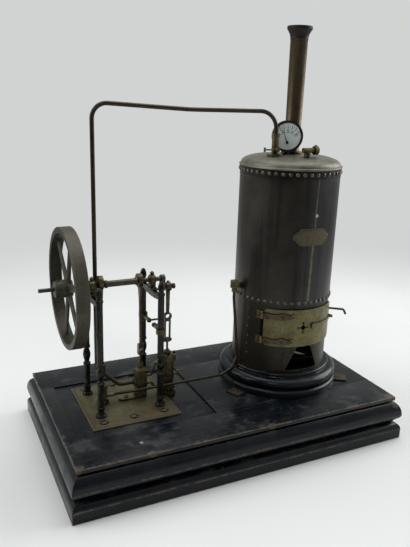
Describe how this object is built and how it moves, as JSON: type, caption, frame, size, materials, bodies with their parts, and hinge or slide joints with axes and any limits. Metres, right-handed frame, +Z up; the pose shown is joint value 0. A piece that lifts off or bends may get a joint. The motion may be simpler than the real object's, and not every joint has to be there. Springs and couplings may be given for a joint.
{
  "type": "model stationary steam engine",
  "caption": "Model steam plant: vertical riveted boiler with firebox, gauge and chimney feeding a column engine with flywheel, crank and eccentrics on a moulded wooden plinth.",
  "frame": {"origin": "centre of the plinth at the surface that it stands on", "axes": "+X along the plinth from the engine to the boiler, +Y away from the firebox door, +Z up"},
  "size_m": [0.4146, 0.2466, 0.4855],
  "materials": {
    "black_wood": "worn black paint",
    "black_iron": "blackened, worn",
    "aged_brass": "aged, spotted",
    "bronzed_shell": "dark bronzed patina",
    "steel": "dull, lightly rusted",
    "dial_enamel": "white enamel with a plain scale"
  },
  "bodies": {
    "frame": {"plinth_base": "black_wood", "plinth_moulding": "black_wood", "plinth_rails": "black_wood", "plinth_stile": "black_wood", "plinth_engine_panel": "black_wood", "plinth_boiler_board": "black_wood", "boiler_ring": "black_wood", "bed_plate": "aged_brass", "column_front_left": "black_iron", "column_back_left": "black_iron", "column_front_right": "black_iron", "column_back_right": "black_iron", "cross_beam_left": "black_iron", "cross_beam_right": "black_iron", "bearing_left": "aged_brass", "bearing_right": "aged_brass", "guide_bracket": "aged_brass", "steam_cylinder": "aged_brass", "cylinder_cover": "aged_brass", "drain_cock": "aged_brass", "valve_chest": "aged_brass", "steam_passages": "aged_brass", "feed_pump": "aged_brass", "steam_pipe": "aged_brass", "feed_pipe": "aged_brass", "check_valve": "aged_brass", "boiler_lugs": "black_iron", "boiler_shell": "bronzed_shell", "boiler_dome": "bronzed_shell", "boiler_bottom": "bronzed_shell", "firebox_shell": "bronzed_shell", "grate": "black_iron", "plaque": "aged_brass", "chimney_tube": "black_iron", "chimney_mouth": "aged_brass", "gauge_case": "aged_brass", "gauge_dial": "dial_enamel", "gauge_needle": "black_iron", "outlet_valve": "aged_brass", "try_cock": "aged_brass", "hinge_leaves": "aged_brass", "latch_catch": "steel"},
    "crank_body": {"crankshaft": "steel", "flywheel": "black_iron", "eccentrics": "aged_brass"},
    "rod_body": {"connecting_rod": "steel"},
    "piston_body": {"crosshead": "steel"},
    "valve_rod_body": {"valve_eccentric_rod": "aged_brass"},
    "spindle_body": {"valve_spindle": "steel"},
    "pump_rod_body": {"pump_eccentric_rod": "aged_brass"},
    "ram_body": {"pump_ram": "steel"},
    "door_body": {"firebox_door": "aged_brass", "door_straps": "aged_brass", "door_latch": "aged_brass"},
    "lever_body": {"cock_lever": "aged_brass"}
  },
  "joints": [
    {"name": "crank_turn", "type": "hinge", "parent": "frame", "child": "crank_body", "pos_m": [-0.1136, 0.0048, 0.201], "axis": [1, 0, 0], "continuous": true},
    {"name": "rod_swing", "type": "hinge", "parent": "crank_body", "child": "rod_body", "pos_m": [-0.0581, 0.0048, 0.1905], "axis": [1, 0, 0], "continuous": true},
    {"name": "piston_slide", "type": "slide", "parent": "frame", "child": "piston_body", "axis": [0, 0, 1], "range_m": [0, 0.021]},
    {"name": "valve_rod_swing", "type": "hinge", "parent": "crank_body", "child": "valve_rod_body", "pos_m": [-0.0919, 0.0073, 0.201], "axis": [1, 0, 0], "continuous": true},
    {"name": "spindle_slide", "type": "slide", "parent": "frame", "child": "spindle_body", "axis": [0, 0, 1], "range_m": [-0.0025, 0.0025]},
    {"name": "pump_rod_swing", "type": "hinge", "parent": "crank_body", "child": "pump_rod_body", "pos_m": [-0.1386, 0.0048, 0.2035], "axis": [1, 0, 0], "continuous": true},
    {"name": "ram_slide", "type": "slide", "parent": "frame", "child": "ram_body", "axis": [0, 0, 1], "range_m": [-0.005, 0]},
    {"name": "door_hinge", "type": "hinge", "parent": "frame", "child": "door_body", "pos_m": [0.048, -0.0355, 0.1395], "axis": [0, 0, -1], "range_deg": [0, 110]},
    {"name": "cock_turn", "type": "hinge", "parent": "frame", "child": "lever_body", "pos_m": [0.0666, -0.0115, 0.349], "axis": [0, 1, 0], "range_deg": [0, 90]}
  ],
  "couplings": [
    {"joint": "rod_swing", "follows": "crank_turn", "ratio": -1},
    {"joint": "valve_rod_swing", "follows": "crank_turn", "ratio": -1},
    {"joint": "pump_rod_swing", "follows": "crank_turn", "ratio": -1}
  ]
}
